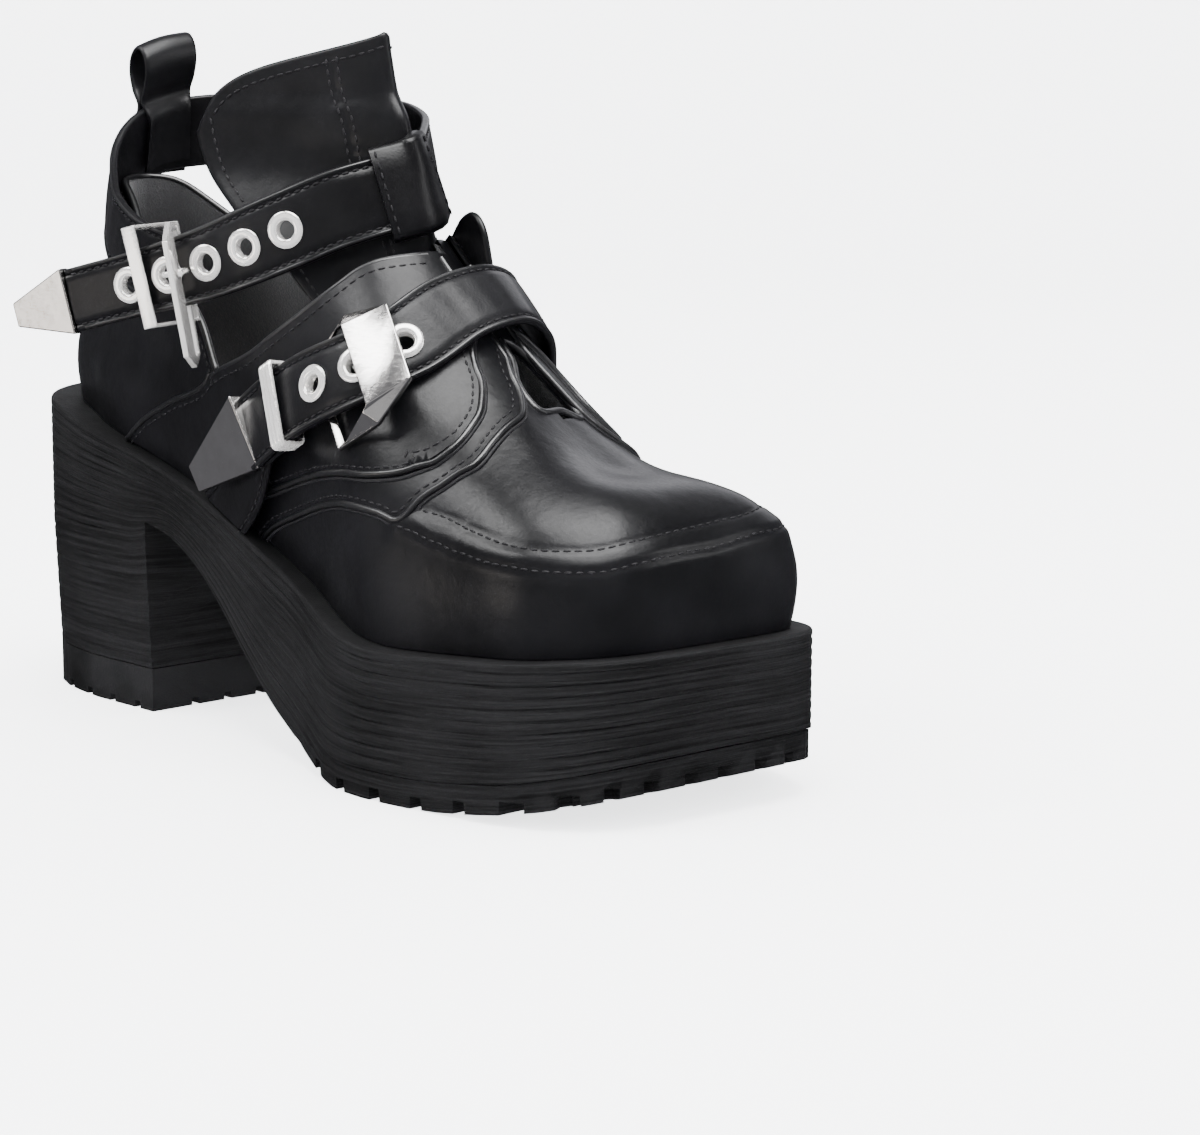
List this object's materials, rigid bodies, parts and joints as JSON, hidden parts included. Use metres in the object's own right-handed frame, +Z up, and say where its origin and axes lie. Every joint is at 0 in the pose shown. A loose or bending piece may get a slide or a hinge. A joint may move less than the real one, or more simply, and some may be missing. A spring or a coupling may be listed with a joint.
{
  "type": "cut-out ankle boot",
  "caption": "Right cut-out ankle boot with open sides, buckled ankle and instep straps, pull loop, squared toe, platform sole and block heel.",
  "frame": {"origin": "on the ground under the middle of the heel", "axes": "+X from heel to toe, +Y to the medial (inner) side, +Z up"},
  "size_m": [0.2754, 0.1167, 0.2009],
  "materials": {
    "black_leather": "smooth black leather with a soft sheen",
    "charcoal_rubber": "matt charcoal rubber",
    "insole_fabric": "black lining cloth",
    "polished_nickel": "polished nickel-plated metal"
  },
  "bodies": {
    "root": {"sole_unit": "charcoal_rubber", "heel_toplift": "charcoal_rubber", "forepart_outsole": "charcoal_rubber", "insole": "insole_fabric", "upper": "black_leather", "ankle_flap": "black_leather", "front_loop": "black_leather", "heel_tab": "black_leather", "ankle_strap": "black_leather", "ankle_buckle": "polished_nickel", "ankle_prong": "polished_nickel", "ankle_keeper": "polished_nickel", "ankle_tip": "polished_nickel", "ankle_eyelet_1": "polished_nickel", "ankle_eyelet_2": "polished_nickel", "ankle_eyelet_3": "polished_nickel", "ankle_eyelet_4": "polished_nickel", "ankle_eyelet_5": "polished_nickel", "instep_strap": "black_leather", "instep_billet": "black_leather", "instep_buckle": "polished_nickel", "instep_prong": "polished_nickel", "instep_keeper": "polished_nickel", "instep_tip": "polished_nickel", "instep_eyelet_1": "polished_nickel", "instep_eyelet_2": "polished_nickel", "instep_eyelet_3": "polished_nickel"}
  },
  "joints": []
}
